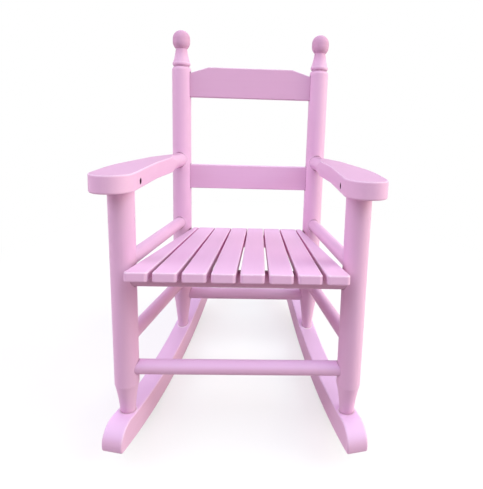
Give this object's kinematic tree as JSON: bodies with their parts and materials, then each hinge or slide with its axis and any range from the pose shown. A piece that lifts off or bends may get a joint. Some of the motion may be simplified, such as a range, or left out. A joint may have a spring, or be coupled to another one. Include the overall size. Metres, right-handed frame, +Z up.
{
  "type": "child rocking chair",
  "caption": "Painted wooden child's rocking chair with turned posts and ball finials, shaped crest rail, paddle arms, fanned slat seat and curved rockers.",
  "frame": {"origin": "on the floor under the lowest point of the rockers, midway across the chair and at the middle of its depth", "axes": "+Z up, -Y towards the front that the sitter faces, +X towards the right arm as seen from the front"},
  "size_m": [0.3556, 0.4058, 0.562],
  "materials": {
    "pink_paint": "semi-gloss pink paint on turned and sawn hardwood",
    "screw": "dull steel wood screw"
  },
  "bodies": {
    "root": {"front_post_left": "pink_paint", "front_post_right": "pink_paint", "rear_post_left": "pink_paint", "rear_post_right": "pink_paint", "arm_left": "pink_paint", "arm_right": "pink_paint", "crest_rail": "pink_paint", "lower_back_slat": "pink_paint", "seat_slat_1": "pink_paint", "seat_slat_2": "pink_paint", "seat_slat_3": "pink_paint", "seat_slat_4": "pink_paint", "seat_slat_5": "pink_paint", "seat_slat_6": "pink_paint", "seat_slat_7": "pink_paint", "seat_slat_8": "pink_paint", "front_seat_rail": "pink_paint", "rear_seat_rail": "pink_paint", "lower_front_stretcher": "pink_paint", "lower_rear_stretcher": "pink_paint", "lower_side_rung_left": "pink_paint", "lower_side_rung_right": "pink_paint", "upper_side_rung_left": "pink_paint", "upper_side_rung_right": "pink_paint", "rocker_left": "pink_paint", "rocker_right": "pink_paint", "arm_screws": "screw"}
  },
  "joints": []
}
